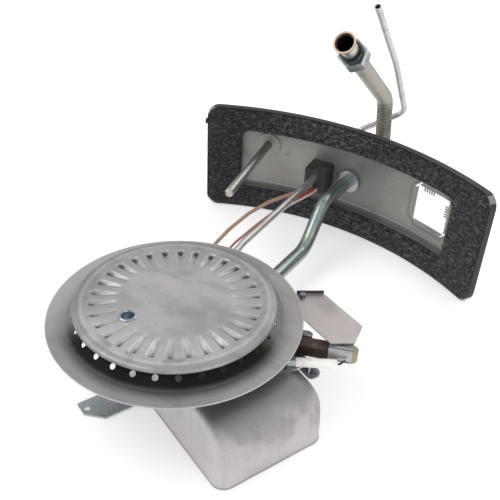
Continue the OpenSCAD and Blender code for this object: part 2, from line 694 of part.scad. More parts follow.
module sensor_probe() color("#c3bdb6") aim(probe_end, probe_dir) difference() {
    union() {
        cylinder(d1 = probe_d - 1, d2 = probe_d, h = 0.8);
        translate([0, 0, 0.8]) cylinder(d = probe_d, h = probe_l - 0.8);
    }
    translate([-1, 2, -1]) cube([2, 4, 3.5]);
}

module probe_nut() color("#a08c52") aim(probe_end + 114.5 * probe_dir, probe_dir) difference() {
    union() {
        translate([0, 0, 1]) hex(16, 11);
        cylinder(d = 17.6, h = 1.2);
    }
    translate([0, 0, -1]) cylinder(d = probe_d + 0.1, h = 20);
}

// ---- Flexible gas line ---------------------------------------------------------------------

flex_bore = flex_od - 1;
lip_back = 2.2;                    // how far behind its mouth the line's wall opens into the flare

module flex_elbow() color("#b9b3a8") bent_tube(
    [[line_x, union_y + 0.1, line_z], elbow_corner, bellows_foot - 0.05 * bellows_dir],
    [0, 13, 0], flex_od, flex_bore
);

// Corrugated section: ridges of equal height on both sides of a thin wall
module flex_bellows() color("#b9b3a8") {
    pitch = bellows_l / flex_ridges;
    steps = 6 * flex_ridges;
    wave = [for (i = [0 : steps]) 0.45 - 0.45 * cos(60 * i)];
    outer = [for (i = [0 : steps]) [flex_od / 2 - 1 + wave[i], i * pitch / 6]];
    inner = [for (i = [steps : -1 : 0]) [flex_od / 2 - 1.5 + wave[i], i * pitch / 6]];
    aim(bellows_foot, bellows_dir) rotate_extrude() polygon(concat(outer, inner));
}

module flex_upper() color("#b9b3a8") {
    bent_tube(
        [bellows_foot + (bellows_l + 0.05) * bellows_dir, flex_corner, flex_end - lip_back * end_dir],
        [0, 25, 0], flex_od, flex_bore
    );
    aim(flex_end - lip_back * end_dir, end_dir) rotate_extrude() polygon([
        [flex_bore / 2 + 0.15, -0.6], [flex_od / 2 + 0.1, -0.6], [flex_od / 2 + 0.3, 0], [10.1, 1.3],
        [10.1, 2.2], [9.9, 2.5], [8.5, 2.5], [flex_bore / 2 + 0.15, 0.8]
    ]);
}

// Dark sleeve on which the nut turns
module seal_ring() color("#2a2a2c") aim(flex_end - (nut_back + 1.5) * end_dir, end_dir)
    ring(18, flex_od + 0.1, 22);

// Gas valve nut: hex with a threaded barrel that faces the flare
module gas_nut() color("#9fb0b0") aim(flex_end - nut_back * end_dir, end_dir) difference() {
    union() {
        intersection() {
            hex(nut_af, 14);
            cylinder(d1 = nut_af, d2 = nut_af + 14, h = 7);
            cylinder(d = nut_af * 1.2, h = 14);
        }
        translate([0, 0, 7]) hex(nut_af, 7);
        translate([0, 0, 14]) cylinder(d = 20.6, h = 5);
    }
    translate([0, 0, -1]) cylinder(d = 18.1, h = 22);
}

stand() burner_cap();
stand() cap_eyelet();
stand() eyelet_washer();
stand() burner_pan();
stand() burner_flange();
stand() neck_sleeve();
stand() mixer_hood();
stand() mixer_base();
stand() inlet_bell();
stand() support_foot();
stand() foot_rivets();
stand() gas_tube();
stand() gas_orifice();
stand() orifice_bracket();
stand() bracket_rivets();
stand() pilot_bracket();
stand() pilot_screws();
stand() pilot_shield();
stand() shield_screw();
stand() pilot_burner();
stand() pilot_port_cap();
stand() pilot_fitting();
stand() igniter_insulator();
stand() igniter_rod();
stand() insulator_clip();
stand() thermopile();
stand() thermopile_nut();
stand() pilot_tube();
stand() igniter_lead();
stand() thermopile_lead_red();
stand() thermopile_lead_white();
stand() lead_grommet();
stand() door_panel();
stand() door_gasket();
stand() gasket_pins();
stand() edge_screw();
stand() gas_collar();
stand() gas_union();
stand() sensor_probe();
stand() probe_nut();
stand() flex_elbow();
stand() flex_bellows();
stand() flex_upper();
stand() seal_ring();
stand() gas_nut();
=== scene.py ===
"""Looks of the water heater burner assembly: materials, sheet and fibre detail, light and camera."""
import math
import random

import bpy
from mathutils import Matrix, Vector, noise


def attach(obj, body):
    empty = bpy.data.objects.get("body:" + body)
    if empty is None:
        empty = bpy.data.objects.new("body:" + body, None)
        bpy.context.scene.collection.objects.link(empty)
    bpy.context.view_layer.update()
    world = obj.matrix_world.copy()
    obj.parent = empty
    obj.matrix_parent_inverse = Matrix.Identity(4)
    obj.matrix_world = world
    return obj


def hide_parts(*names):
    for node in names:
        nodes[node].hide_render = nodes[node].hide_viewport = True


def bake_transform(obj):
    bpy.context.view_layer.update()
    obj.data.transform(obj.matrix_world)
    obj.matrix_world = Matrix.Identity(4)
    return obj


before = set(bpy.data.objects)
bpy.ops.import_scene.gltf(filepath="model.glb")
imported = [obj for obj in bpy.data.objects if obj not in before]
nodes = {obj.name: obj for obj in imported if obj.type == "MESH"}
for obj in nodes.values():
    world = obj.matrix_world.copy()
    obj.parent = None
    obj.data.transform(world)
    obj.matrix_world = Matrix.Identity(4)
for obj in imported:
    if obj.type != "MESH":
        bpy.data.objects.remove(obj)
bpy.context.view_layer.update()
random.seed(7)

# Lengths and places are in millimetres, from the top plane of the burner's flange.
MM = 0.001
LIFT = 75.0  # height of that plane above the row frame's origin

UP = Vector((0, 0, 1))
RIGHT = Vector((1, 0, 0))
TO_FRONT = Vector((0.535, -0.845, 0))  # level, from the burner toward the camera
MIXER_TURN = Matrix.Rotation(math.radians(68.5), 4, "Z")


# ---- Meshes ---------------------------------------------------------------------------------


def to_row(p):
    """A point in millimetres from the flange's top plane, in the row frame in metres."""
    return Vector((p[0] * MM, p[1] * MM, (p[2] + LIFT) * MM))


def new_piece(name, points, faces, material, body):
    """Smooth mesh from points in millimetres; it rides on the body, if one is given."""
    mesh = bpy.data.meshes.new(name)
    mesh.from_pydata([to_row(p) for p in points], [], faces)
    mesh.validate()
    obj = bpy.data.objects.new(name, mesh)
    bpy.context.scene.collection.objects.link(obj)
    obj.data.materials.append(material)
    for polygon in mesh.polygons:
        polygon.use_smooth = True
    if body:
        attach(obj, body)
    return obj


def grid_faces(rows, columns, closed_rows=False, closed_columns=False):
    """Quads of a grid of points stored row by row."""
    faces = []
    for i in range(rows if closed_rows else rows - 1):
        for j in range(columns if closed_columns else columns - 1):
            a = i * columns + j
            b = i * columns + (j + 1) % columns
            c = (i + 1) % rows * columns + (j + 1) % columns
            d = (i + 1) % rows * columns + j
            faces.append((a, b, c, d))
    return faces


def steps(low, high, count):
    """Even steps from low to high, both included."""
    return [low + (high - low) * i / count for i in range(count + 1)]


def smooth_step(x):
    """Eases from 0 to 1 as x does."""
    x = min(max(x, 0.0), 1.0)
    return x * x * (3 - 2 * x)


def along(table, x):
    """Straight-line interpolation through (x, y) pairs."""
    for (x0, y0), (x1, y1) in zip(table, table[1:]):
        if x <= x1:
            return y0 + (y1 - y0) * (x - x0) / (x1 - x0)
    return table[-1][1]


def solidify(obj, thickness):
    """Gives a skin its sheet's thickness, inward."""
    modifier = obj.modifiers.new("thickness", "SOLIDIFY")
    modifier.thickness = thickness * MM
    modifier.offset = -1


# ---- Material kit ---------------------------------------------------------------------------


class Surface:
    """A node-based material that is built up layer by layer."""

    def __init__(self, name, color, rough, metallic=0.0):
        self.material = bpy.data.materials.new(name)
        self.material.use_nodes = True
        self.tree = self.material.node_tree
        self.shader = self.tree.nodes["Principled BSDF"]
        self.shader.inputs["Metallic"].default_value = metallic
        self.place = self.tree.nodes.new("ShaderNodeTexCoord").outputs["Object"]
        self.color = self.rgb(color)
        self.rough = self.number(rough)
        self.height = None
        self.link(self.color, self.shader.inputs["Base Color"])
        self.link(self.rough, self.shader.inputs["Roughness"])

    def link(self, source, target):
        self.tree.links.new(source, target)

    def rgb(self, color):
        node = self.tree.nodes.new("ShaderNodeRGB")
        node.outputs[0].default_value = (*color, 1)
        return node.outputs[0]

    def number(self, value):
        node = self.tree.nodes.new("ShaderNodeValue")
        node.outputs[0].default_value = value
        return node.outputs[0]

    def math(self, operation, a, b=0.0):
        node = self.tree.nodes.new("ShaderNodeMath")
        node.operation = operation
        for value, target in zip((a, b), node.inputs):
            if isinstance(value, (int, float)):
                target.default_value = value
            else:
                self.link(value, target)
        return node.outputs[0]

    def both(self, mask, other):
        """High where both masks are high."""
        return self.math("MULTIPLY", mask, other)

    def range(self, value, low, high, out_low=0.0, out_high=1.0):
        """Eases from out_low to out_high as a value goes from low to high; low may be the larger."""
        node = self.tree.nodes.new("ShaderNodeMapRange")
        node.interpolation_type = "SMOOTHSTEP"
        self.link(value, node.inputs["Value"])
        node.inputs["From Min"].default_value = low
        node.inputs["From Max"].default_value = high
        node.inputs["To Min"].default_value = out_low
        node.inputs["To Max"].default_value = out_high
        return node.outputs["Result"]

    def noise(self, scale, detail=4.0, stretch=(1, 1, 1), turn=(0, 0, 0), offset=0.0):
        """Noise with scale cells to a metre; a small stretch draws it out along that axis."""
        mapping = self.tree.nodes.new("ShaderNodeMapping")
        mapping.inputs["Scale"].default_value = stretch
        mapping.inputs["Rotation"].default_value = turn
        mapping.inputs["Location"].default_value = (offset, offset, offset)
        self.link(self.place, mapping.inputs["Vector"])
        node = self.tree.nodes.new("ShaderNodeTexNoise")
        node.inputs["Scale"].default_value = scale
        node.inputs["Detail"].default_value = detail
        self.link(mapping.outputs[0], node.inputs["Vector"])
        return node.outputs["Fac"]

    def axis(self, direction, origin=(0, 0, 0)):
        """Distance along a direction, in millimetres, from a point in millimetres."""
        node = self.tree.nodes.new("ShaderNodeVectorMath")
        node.operation = "DOT_PRODUCT"
        self.link(self.place, node.inputs[0])
        unit = Vector(direction).normalized()
        node.inputs[1].default_value = unit * 1000
        return self.math("SUBTRACT", node.outputs["Value"], unit.dot(to_row(origin) * 1000))

    def radius(self):
        """Distance from the burner's axis, in millimetres."""
        split = self.tree.nodes.new("ShaderNodeVectorMath")
        split.operation = "MULTIPLY"
        self.link(self.place, split.inputs[0])
        split.inputs[1].default_value = (1000, 1000, 0)
        node = self.tree.nodes.new("ShaderNodeVectorMath")
        node.operation = "LENGTH"
        self.link(split.outputs[0], node.inputs[0])
        return node.outputs["Value"]

    def wave(self, distance, pitch):
        """Cosine along a distance, with a crest at every whole pitch."""
        return self.math("COSINE", self.math("MULTIPLY", distance, 2 * math.pi / pitch))

    def inside_line(self):
        """High on the bore of the flexible line's upper end."""
        away = self.tree.nodes.new("ShaderNodeVectorMath")
        away.operation = "SUBTRACT"
        self.link(self.place, away.inputs[0])
        away.inputs[1].default_value = to_row(FLEX_END)
        across = self.tree.nodes.new("ShaderNodeVectorMath")
        across.operation = "CROSS_PRODUCT"
        self.link(away.outputs[0], across.inputs[0])
        across.inputs[1].default_value = FLEX_AXIS.normalized() * 1000
        length = self.tree.nodes.new("ShaderNodeVectorMath")
        length.operation = "LENGTH"
        self.link(across.outputs[0], length.inputs[0])
        return self.range(length.outputs["Value"], FLEX_BORE_R, FLEX_BORE_R - 0.1)

    def edge(self):
        """High on sharp outer edges."""
        node = self.tree.nodes.new("ShaderNodeNewGeometry")
        return node.outputs["Pointiness"]

    def upward(self):
        """How far the surface faces up, from -1 to 1."""
        node = self.tree.nodes.new("ShaderNodeNewGeometry")
        split = self.tree.nodes.new("ShaderNodeSeparateXYZ")
        self.link(node.outputs["Normal"], split.inputs[0])
        return split.outputs["Z"]

    def tint(self, mask, color, amount):
        """Mixes in a colour where the mask is high."""
        mix = self.tree.nodes.new("ShaderNodeMix")
        mix.data_type = "RGBA"
        self.link(self.math("MULTIPLY", mask, amount), mix.inputs["Factor"])
        self.link(self.color, mix.inputs["A"])
        mix.inputs["B"].default_value = (*color, 1)
        self.color = mix.outputs["Result"]
        self.link(self.color, self.shader.inputs["Base Color"])
        return self

    def roughen(self, mask, amount):
        """Adds to the roughness where the mask is high."""
        self.rough = self.math("ADD", self.rough, self.math("MULTIPLY", mask, amount))
        self.link(self.rough, self.shader.inputs["Roughness"])
        return self

    def bump(self, mask, depth):
        """Raises the surface by depth millimetres where the mask is 1."""
        node = self.tree.nodes.new("ShaderNodeBump")
        node.inputs["Distance"].default_value = depth * MM
        self.link(mask, node.inputs["Height"])
        if self.height:
            self.link(self.height, node.inputs["Normal"])
        self.height = node.outputs["Normal"]
        self.link(self.height, self.shader.inputs["Normal"])
        return self


def sheet_metal(name, color, dark, rough=0.42, metallic=0.85):
    """Handled sheet steel: cloudy stains, fine scratches and a slight unevenness."""
    s = Surface(name, color, rough, metallic)
    clouds = s.range(s.noise(28, 6), 0.42, 0.68)
    specks = s.range(s.noise(420, 3, offset=3), 0.6, 0.75)
    scratches = s.range(s.noise(300, 3, offset=1), 0.58, 0.72)
    s.tint(clouds, dark, 0.55)
    s.tint(specks, dark, 0.35)
    s.roughen(clouds, 0.12).roughen(scratches, 0.08)
    s.bump(s.noise(60, 3), 0.10).bump(scratches, 0.03)
    return s


def plated(name, color, hue, rough=0.3):
    """Zinc plating with an uneven colour cast and dark nicks on its edges."""
    s = Surface(name, color, rough, 0.9)
    s.tint(s.range(s.noise(45, 4), 0.4, 0.65), hue, 0.7)
    nicks = s.range(s.noise(380, 3, offset=5), 0.62, 0.72)
    s.tint(nicks, (0.06, 0.06, 0.06), 0.6)
    s.roughen(nicks, 0.2).bump(s.noise(220, 3), 0.05)
    return s


def turned(name, color, direction):
    """Machined metal with fine rings round its axis."""
    s = Surface(name, color, 0.28, 0.95)
    stretch = [0.05 + abs(x) for x in Vector(direction).normalized()]
    rings = s.range(s.noise(900, 2, stretch=stretch), 0.4, 0.6)
    s.tint(rings, tuple(x * 0.55 for x in color), 0.35)
    s.tint(s.range(s.noise(70, 4), 0.5, 0.7), tuple(x * 0.35 for x in color), 0.6)
    return s.roughen(rings, 0.12).bump(rings, 0.03)


def insulated(name, color, grime):
    """Soft lead insulation with a dull skin and smudges."""
    s = Surface(name, color, 0.5)
    s.tint(s.range(s.noise(60, 5), 0.5, 0.72), grime, 0.6)
    s.shader.inputs["Subsurface Weight"].default_value = 0.05
    return s.bump(s.noise(500, 2), 0.03)


# ---- Materials ------------------------------------------------------------------------------

FLEX_END = Vector((-5.5, 235.967, 133.968))
FLEX_AXIS = Vector((0, -0.7804, 0.6252))
FLEX_BORE_R = 7.6
BELLOWS_FOOT = Vector((-5.5, 355.3, -4))
BELLOWS_AXIS = Vector((0, -math.sin(math.radians(12)), math.cos(math.radians(12))))
BELLOWS_LENGTH = 43.0
RIDGES = 19
THREAD_PITCH = 1.3
DOOR_ENDS = (math.radians(58.05), math.radians(121.95))  # azimuths of the right and left end
DOOR_TOP = 36.4
DOOR_FOOT = -74.0
SIGHT_HOLE = Vector((86.2, 271.7, -14))
SIGHT_ACROSS = Vector((0.9532, -0.3024, 0))
PILOT_MIDDLE = Vector((85.9, 39.9, -15))
PILOT_AXIS = Vector((0.9298, 0.3681, 0))
PROBE_TIP = Vector((-69, 163, -2))
PROBE_AXIS = Vector((-0.2267, 0.974, 0))


def cap_steel():
    """Stained, handled sheet with painted shade over the troughs on the far side, on the rim's outer
    slope and under its edge, and painted highlights at the front and along the rim's crest.
    """
    s = sheet_metal("cap_steel", (0.50, 0.49, 0.48), (0.24, 0.235, 0.23), 0.44, 0.75)
    s.tint(s.range(s.noise(22, 5, offset=9), 0.5, 0.66), (0.56, 0.53, 0.53), 0.5)
    streaks = s.range(s.noise(90, 4, stretch=(0.25, 1, 1), turn=(0, 0, 0.6), offset=2), 0.5, 0.66)
    s.tint(streaks, (0.34, 0.335, 0.33), 0.45)
    # Painted shade: the ring of troughs is darkened on the side away from the front.
    back_part = s.range(s.axis(TO_FRONT), 40, 10)
    far_trough_shade = s.both(s.range(s.radius(), 36, 58), back_part)
    s.tint(far_trough_shade, (0.34, 0.335, 0.33), 0.6)
    # Painted highlight: the cap is paler toward the front.
    s.tint(s.range(s.axis((0.3, -0.954, 0)), 20, 60), (0.60, 0.585, 0.57), 0.35)
    # Painted shade: the rim's outer slope is darkened.
    s.tint(s.range(s.radius(), 66.8, 68.6), (0.28, 0.278, 0.275), 0.7)
    ring = s.range(s.radius(), 60.5, 62.5)
    s.tint(s.both(ring, s.range(s.noise(75, 4), 0.45, 0.6)), (0.26, 0.25, 0.25), 0.6)
    # Painted highlight along the crest of the rim.
    crest = s.both(s.range(s.radius(), 64.4, 66), s.range(s.radius(), 68.6, 67))
    s.tint(crest, (0.66, 0.65, 0.64), 0.25)
    shade_troughs(s)
    # Painted shade under the rim's outer edge.
    rim = s.range(s.axis(UP), 11.2, 10.4)
    s.tint(s.both(rim, s.range(s.radius(), 71.6, 72.1)), (0.10, 0.10, 0.10), 0.7)
    s.bump(s.noise(16, 2, offset=4), 0.35)
    return s.material


def shade_troughs(s):
    """Painted shade in the outer ends of the cap's pressed troughs, deepest on their steep walls on
    the far side, and a painted highlight on their inner ends.
    """
    # Painted shade in the low outer ends of the troughs.
    low = s.range(s.axis(UP), 11.5, 9.8)
    end = s.both(low, s.range(s.radius(), 51, 58.5))
    pit_shade = s.both(end, s.range(s.radius(), 62.4, 61.6))
    s.tint(pit_shade, (0.03, 0.029, 0.028), 0.9)
    # Painted shade on the troughs' steep outer walls on the far side.
    far_side = s.both(s.range(s.axis(-TO_FRONT), 0, 40), s.range(s.radius(), 54.5, 57))
    steep = s.both(s.range(s.axis(UP), 11.9, 11.0), s.range(s.radius(), 62.2, 61.4))
    s.tint(s.both(far_side, steep), (0.07, 0.068, 0.066), 0.75)
    # Painted highlight on the inner ends of the troughs.
    lit_trough_floor = s.both(low, s.range(s.radius(), 53, 45))
    s.tint(lit_trough_floor, (0.66, 0.65, 0.64), 0.5)


def flange_steel():
    """Flat flange with fine rolling marks, paler on the left from painted light, with painted shade
    round its collar that makes the collar nearly black, most toward the front, and a painted
    highlight along its edge.
    """
    s = sheet_metal("flange_steel", (0.36, 0.355, 0.35), (0.20, 0.196, 0.192), 0.46, 0.75)
    s.tint(s.range(s.noise(18, 5, offset=2), 0.48, 0.62), (0.42, 0.405, 0.40), 0.5)
    rolled = s.range(s.noise(180, 4, stretch=(0.15, 1, 1), turn=(0, 0, 0.4), offset=8), 0.5, 0.66)
    s.tint(rolled, (0.25, 0.245, 0.24), 0.35)
    # Painted light: the flange is paler toward the left.
    s.tint(s.range(s.axis(RIGHT), -35, -85), (0.52, 0.515, 0.51), 0.7)
    # Painted shade spreading round the collar, strongest toward the front.
    front = s.range(s.axis(TO_FRONT), 10, 52)
    shade_round_collar = s.both(s.range(s.radius(), 88, 76), s.range(front, 0, 1, 0.15, 1))
    s.tint(shade_round_collar, (0.045, 0.045, 0.046), 0.85)
    # Painted shade: the collar is nearly black, most toward the front.
    collar = s.both(s.range(s.radius(), 79.5, 75.5), s.range(front, 0, 1, 0.2, 1))
    s.tint(collar, (0.010, 0.010, 0.011), 0.97)
    s.roughen(collar, 0.25)
    # Painted highlight along the flange's outer edge.
    rim = s.range(s.radius(), 90.8, 91.9)
    s.tint(rim, (0.60, 0.59, 0.58), 0.6)
    s.bump(s.noise(22, 2), 0.4)
    return s.material


def hood_steel():
    """Aluminised lilac sheet with draw marks; painted light makes its walls paler, most toward the
    foot and on the left wall, and painted shade darkens its top, most near the flange, and along its
    foot.
    """
    s = Surface("hood_steel", (0.42, 0.395, 0.405), 0.46, 0.65)
    top = s.range(s.upward(), 0.45, 0.98)
    near = s.range(s.radius(), 150, 88)
    # Painted shade: the upward-facing top is darker.
    s.tint(top, (0.29, 0.285, 0.29), 0.75)
    # Painted shade on the top near the flange above it.
    s.tint(s.both(top, near), (0.21, 0.207, 0.21), 0.55)
    # Painted light: the sideways-facing walls are paler.
    s.tint(s.range(s.upward(), 0.5, 0.1), (0.50, 0.47, 0.49), 0.45)
    draw = s.range(s.noise(130, 4, stretch=(1, 1, 0.08)), 0.45, 0.65)
    s.tint(draw, (0.32, 0.30, 0.31), 0.4)
    haze = s.range(s.noise(38, 6, offset=6), 0.44, 0.62)
    s.tint(haze, (0.27, 0.26, 0.265), 0.5)
    specks = s.range(s.noise(900, 2), 0.68, 0.74)
    s.tint(specks, (0.06, 0.06, 0.06), 0.7)
    # Painted light: the walls are paler toward the foot.
    s.tint(s.range(s.axis(UP), -38, -72), (0.62, 0.585, 0.59), 0.55)
    # Painted light on the left wall.
    lit_left_wall = s.range(s.axis(MIXER_TURN @ RIGHT), -22, -25.5)
    s.tint(lit_left_wall, (0.60, 0.58, 0.57), 0.65)
    # Painted shade along the foot.
    foot = s.range(s.axis(UP), -73, -74.5)
    s.tint(foot, (0.36, 0.345, 0.345), 0.4)
    s.roughen(haze, 0.12).roughen(draw, 0.06)
    s.bump(s.noise(26, 3, offset=1), 0.5).bump(draw, 0.05)
    return s.material


def flex_steel():
    """Coated stainless line: rolled rings with painted shade in their valleys run on past its
    bellows, its flare is bare and tan, and painted shade fills its bore.
    """
    s = Surface("flex_steel", (0.36, 0.335, 0.30), 0.42, 0.7)
    s.tint(s.range(s.noise(60, 5), 0.45, 0.65), (0.25, 0.235, 0.21), 0.6)
    s.tint(s.range(s.noise(300, 3), 0.62, 0.72), (0.50, 0.48, 0.45), 0.5)
    rise = s.axis(BELLOWS_AXIS, BELLOWS_FOOT)
    wave = s.wave(rise, BELLOWS_LENGTH / RIDGES)
    ringed = s.both(s.range(rise, -0.6, 0.2), s.range(rise, 54, 50))
    # Painted shade in the valleys between the rings.
    valley_shade = s.both(s.range(wave, -0.2, 0.85), ringed)
    s.tint(valley_shade, (0.035, 0.03, 0.027), 0.85)
    back = s.axis(-FLEX_AXIS, FLEX_END)
    neck = s.range(back, 20, 17)
    s.tint(neck, (0.55, 0.54, 0.52), 0.9)
    s.tint(s.range(back, 4.0, 3.0), (0.28, 0.19, 0.13), 0.9)
    # Painted shade: the bore of the line's upper end is nearly black.
    bore = s.both(s.inside_line(), s.range(back, 95, 85))
    s.tint(bore, (0.02, 0.018, 0.017), 0.97)
    s.roughen(neck, -0.16).bump(s.noise(90, 3), 0.12)
    return s.bump(valley_shade, -0.4).material


def gas_tube_steel():
    """Zinc with a blue-green passivation cast and a few yellow patches."""
    s = Surface("gas_tube_steel", (0.34, 0.39, 0.37), 0.28, 0.9)
    s.tint(s.range(s.noise(24, 3), 0.52, 0.66), (0.46, 0.45, 0.33), 0.5)
    s.tint(s.range(s.noise(30, 3, offset=4), 0.45, 0.62), (0.20, 0.30, 0.33), 0.55)
    s.tint(s.range(s.noise(150, 4, offset=7), 0.58, 0.7), (0.12, 0.13, 0.12), 0.6)
    return s.bump(s.noise(120, 3), 0.08).material


def drawn_aluminium():
    """Soft drawn tube with lengthwise scuffs."""
    s = Surface("drawn_aluminium", (0.58, 0.57, 0.56), 0.34, 0.9)
    lengthwise = (1, 0.1, 0.5)
    s.tint(s.range(s.noise(260, 3, stretch=lengthwise), 0.5, 0.65), (0.36, 0.355, 0.35), 0.5)
    s.tint(s.range(s.noise(70, 4), 0.56, 0.7), (0.30, 0.29, 0.28), 0.5)
    return s.bump(s.noise(240, 3, stretch=lengthwise), 0.04).material


def octagon(s, centre, across, half, cut):
    """Distance outside an upright square of the given half side whose corners are cut off."""
    u = s.math("ABSOLUTE", s.axis(across, centre))
    v = s.math("ABSOLUTE", s.axis(UP, centre))
    side = s.math("SUBTRACT", s.math("MAXIMUM", u, v), half)
    corner = s.math("MULTIPLY", s.math("ADD", u, v), math.sqrt(0.5))
    return s.math("MAXIMUM", side, s.math("SUBTRACT", corner, cut))


def door_paint():
    """Coated sheet, rubbed and smudged where it was handled, with a dark turned-in edge; painted
    shade darkens its left, its middle and the strip below its bead, and a painted highlight lies
    along the bead.
    """
    s = Surface("door_paint", (0.27, 0.258, 0.245), 0.42, 0.55)
    s.tint(s.range(s.noise(14, 5), 0.42, 0.62), (0.34, 0.33, 0.315), 0.6)
    s.tint(s.range(s.noise(60, 6, offset=3), 0.56, 0.68), (0.16, 0.152, 0.145), 0.5)
    brush = s.range(s.noise(260, 3, stretch=(0.12, 0.12, 1)), 0.48, 0.66)
    s.tint(brush, (0.40, 0.39, 0.375), 0.22)
    # Painted shade: the door is darker toward the left.
    s.tint(s.range(s.axis(RIGHT), -40, -95), (0.20, 0.195, 0.19), 0.3)
    # Painted shade across the middle of the door.
    middle = s.both(s.range(s.axis(RIGHT), -60, -30), s.range(s.axis(RIGHT), 50, 15))
    s.tint(middle, (0.15, 0.145, 0.138), 0.6)
    draw_sight_fold(s)
    # Painted highlight along the bead.
    bead_highlight = s.both(s.range(s.axis(UP), -47, -46), s.range(s.axis(UP), -45, -46))
    s.tint(bead_highlight, (0.52, 0.51, 0.49), 0.6)
    # Painted shade on the strip below the bead.
    s.tint(s.range(s.axis(UP), -46.5, -47.5), (0.19, 0.185, 0.18), 0.5)
    darken_lips(s)
    s.roughen(brush, 0.1).bump(s.noise(500, 3), 0.03).bump(s.noise(20, 2), 0.3)
    return s.material


def draw_sight_fold(s):
    """Eight-sided fold round the sight hole: raised within, with a painted highlight on its edge and
    painted shade outside.
    """
    outside = octagon(s, SIGHT_HOLE, SIGHT_ACROSS, 23.0, 27.0)
    # Painted highlight along the fold's edge.
    fold = s.both(s.range(outside, -1.2, -0.1), s.range(outside, 1.2, 0.1))
    s.tint(fold, (0.52, 0.505, 0.48), 0.6)
    shadow = s.both(s.range(outside, 1, 2), s.range(outside, 4.5, 2))
    s.tint(shadow, (0.15, 0.145, 0.14), 0.5)
    s.bump(s.range(outside, 1.5, -0.5), 0.7)


def darken_lips(s):
    """The door's turned-in edge, nearly black along its top, foot and both ends."""
    right, left = DOOR_ENDS
    top = s.range(s.axis(UP), DOOR_TOP - 0.4, DOOR_TOP)
    foot = s.range(s.axis(UP), DOOR_FOOT + 0.4, DOOR_FOOT)
    past_left = s.axis((-math.sin(left), math.cos(left), 0))
    past_right = s.axis((math.sin(right), -math.cos(right), 0))
    ends = [s.range(past, -1.7, -1.3) for past in (past_left, past_right)]
    for lip in (top, foot, *ends):
        s.tint(lip, (0.022, 0.019, 0.019), 0.95)


def fibre():
    """Charcoal mineral fibre, combed lengthwise, with dark pits."""
    s = Surface("fibre", (0.026, 0.026, 0.028), 0.95)
    combed = s.range(s.noise(620, 5, stretch=(0.35, 0.35, 1)), 0.48, 0.66)
    s.tint(combed, (0.11, 0.11, 0.115), 0.8)
    hairs = s.range(s.noise(900, 4, stretch=(0.3, 0.3, 1), offset=2), 0.62, 0.72)
    s.tint(hairs, (0.15, 0.15, 0.155), 0.6)
    pits = s.range(s.noise(340, 4, offset=5), 0.5, 0.62)
    s.tint(pits, (0.006, 0.006, 0.008), 0.85)
    # Painted shade: the gasket is darker toward the left.
    s.tint(s.range(s.axis(RIGHT), -60, -125), (0.010, 0.010, 0.011), 0.4)
    s.shader.inputs["Sheen Weight"].default_value = 0.1
    s.shader.inputs["Specular IOR Level"].default_value = 0.2
    return s.bump(s.noise(420, 6, stretch=(0.3, 0.3, 1)), 0.7).bump(s.noise(90, 3), 0.8).material


def strand_fibre():
    """Single fibres, from charcoal to grey."""
    s = Surface("strand_fibre", (0.022, 0.022, 0.024), 0.9)
    s.tint(s.range(s.noise(300, 3), 0.45, 0.6), (0.12, 0.12, 0.125), 0.8)
    return s.bump(s.noise(900, 2), 0.02).material


def shield_sheet():
    """Bright stainless plate whose folded strip and tab are darkened by painted shade."""
    s = sheet_metal("shield_sheet", (0.52, 0.475, 0.47), (0.33, 0.30, 0.30), 0.36, 0.85)
    # Painted shade on the folded strip and tab, which stand above the plate.
    s.tint(s.range(s.axis(UP), -7.0, -6.6), (0.05, 0.048, 0.046), 0.9)
    return s.material


def pilot_bar_iron():
    """Heat-browned bar whose front end is brassy."""
    s = Surface("pilot_bar_iron", (0.055, 0.038, 0.030), 0.45, 0.6)
    s.tint(s.range(s.noise(120, 5), 0.5, 0.68), (0.16, 0.10, 0.07), 0.7)
    front = s.axis(PILOT_AXIS, PILOT_MIDDLE)
    s.tint(s.range(front, 30, 34), (0.36, 0.30, 0.20), 0.9)
    s.tint(s.range(front, 36.5, 38.5), (0.08, 0.06, 0.045), 0.6)
    return s.bump(s.noise(350, 4), 0.12).material


def rubber():
    """Black moulded rubber with a dusty bloom."""
    s = Surface("rubber", (0.018, 0.018, 0.020), 0.5)
    s.tint(s.range(s.noise(80, 5), 0.5, 0.7), (0.06, 0.06, 0.062), 0.7)
    s.roughen(s.noise(200, 3), 0.2)
    return s.bump(s.noise(420, 3), 0.06).material


def ceramic():
    """Glazed white ceramic with brown smudges."""
    s = Surface("ceramic", (0.86, 0.85, 0.81), 0.22)
    s.shader.inputs["Coat Weight"].default_value = 0.4
    s.tint(s.range(s.noise(90, 5), 0.58, 0.74), (0.50, 0.46, 0.40), 0.5)
    return s.bump(s.noise(150, 2), 0.04).material


def probe_steel():
    """Ground rod with a painted reflection of the door that darkens it toward the door."""
    s = Surface("probe_steel", (0.50, 0.48, 0.46), 0.30, 0.92)
    rings = s.range(s.noise(500, 2, stretch=(0.1, 1, 0.1)), 0.45, 0.6)
    s.tint(rings, (0.34, 0.325, 0.31), 0.35)
    depth = s.axis(PROBE_AXIS, PROBE_TIP)
    # Painted reflection of the door: the rod darkens toward it.
    s.tint(s.range(depth, 45, 112), (0.17, 0.16, 0.15), 0.8)
    s.tint(s.range(depth, 0.2, 0.0), (0.50, 0.44, 0.41), 0.8)
    return s.roughen(rings, 0.1).bump(rings, 0.02).material


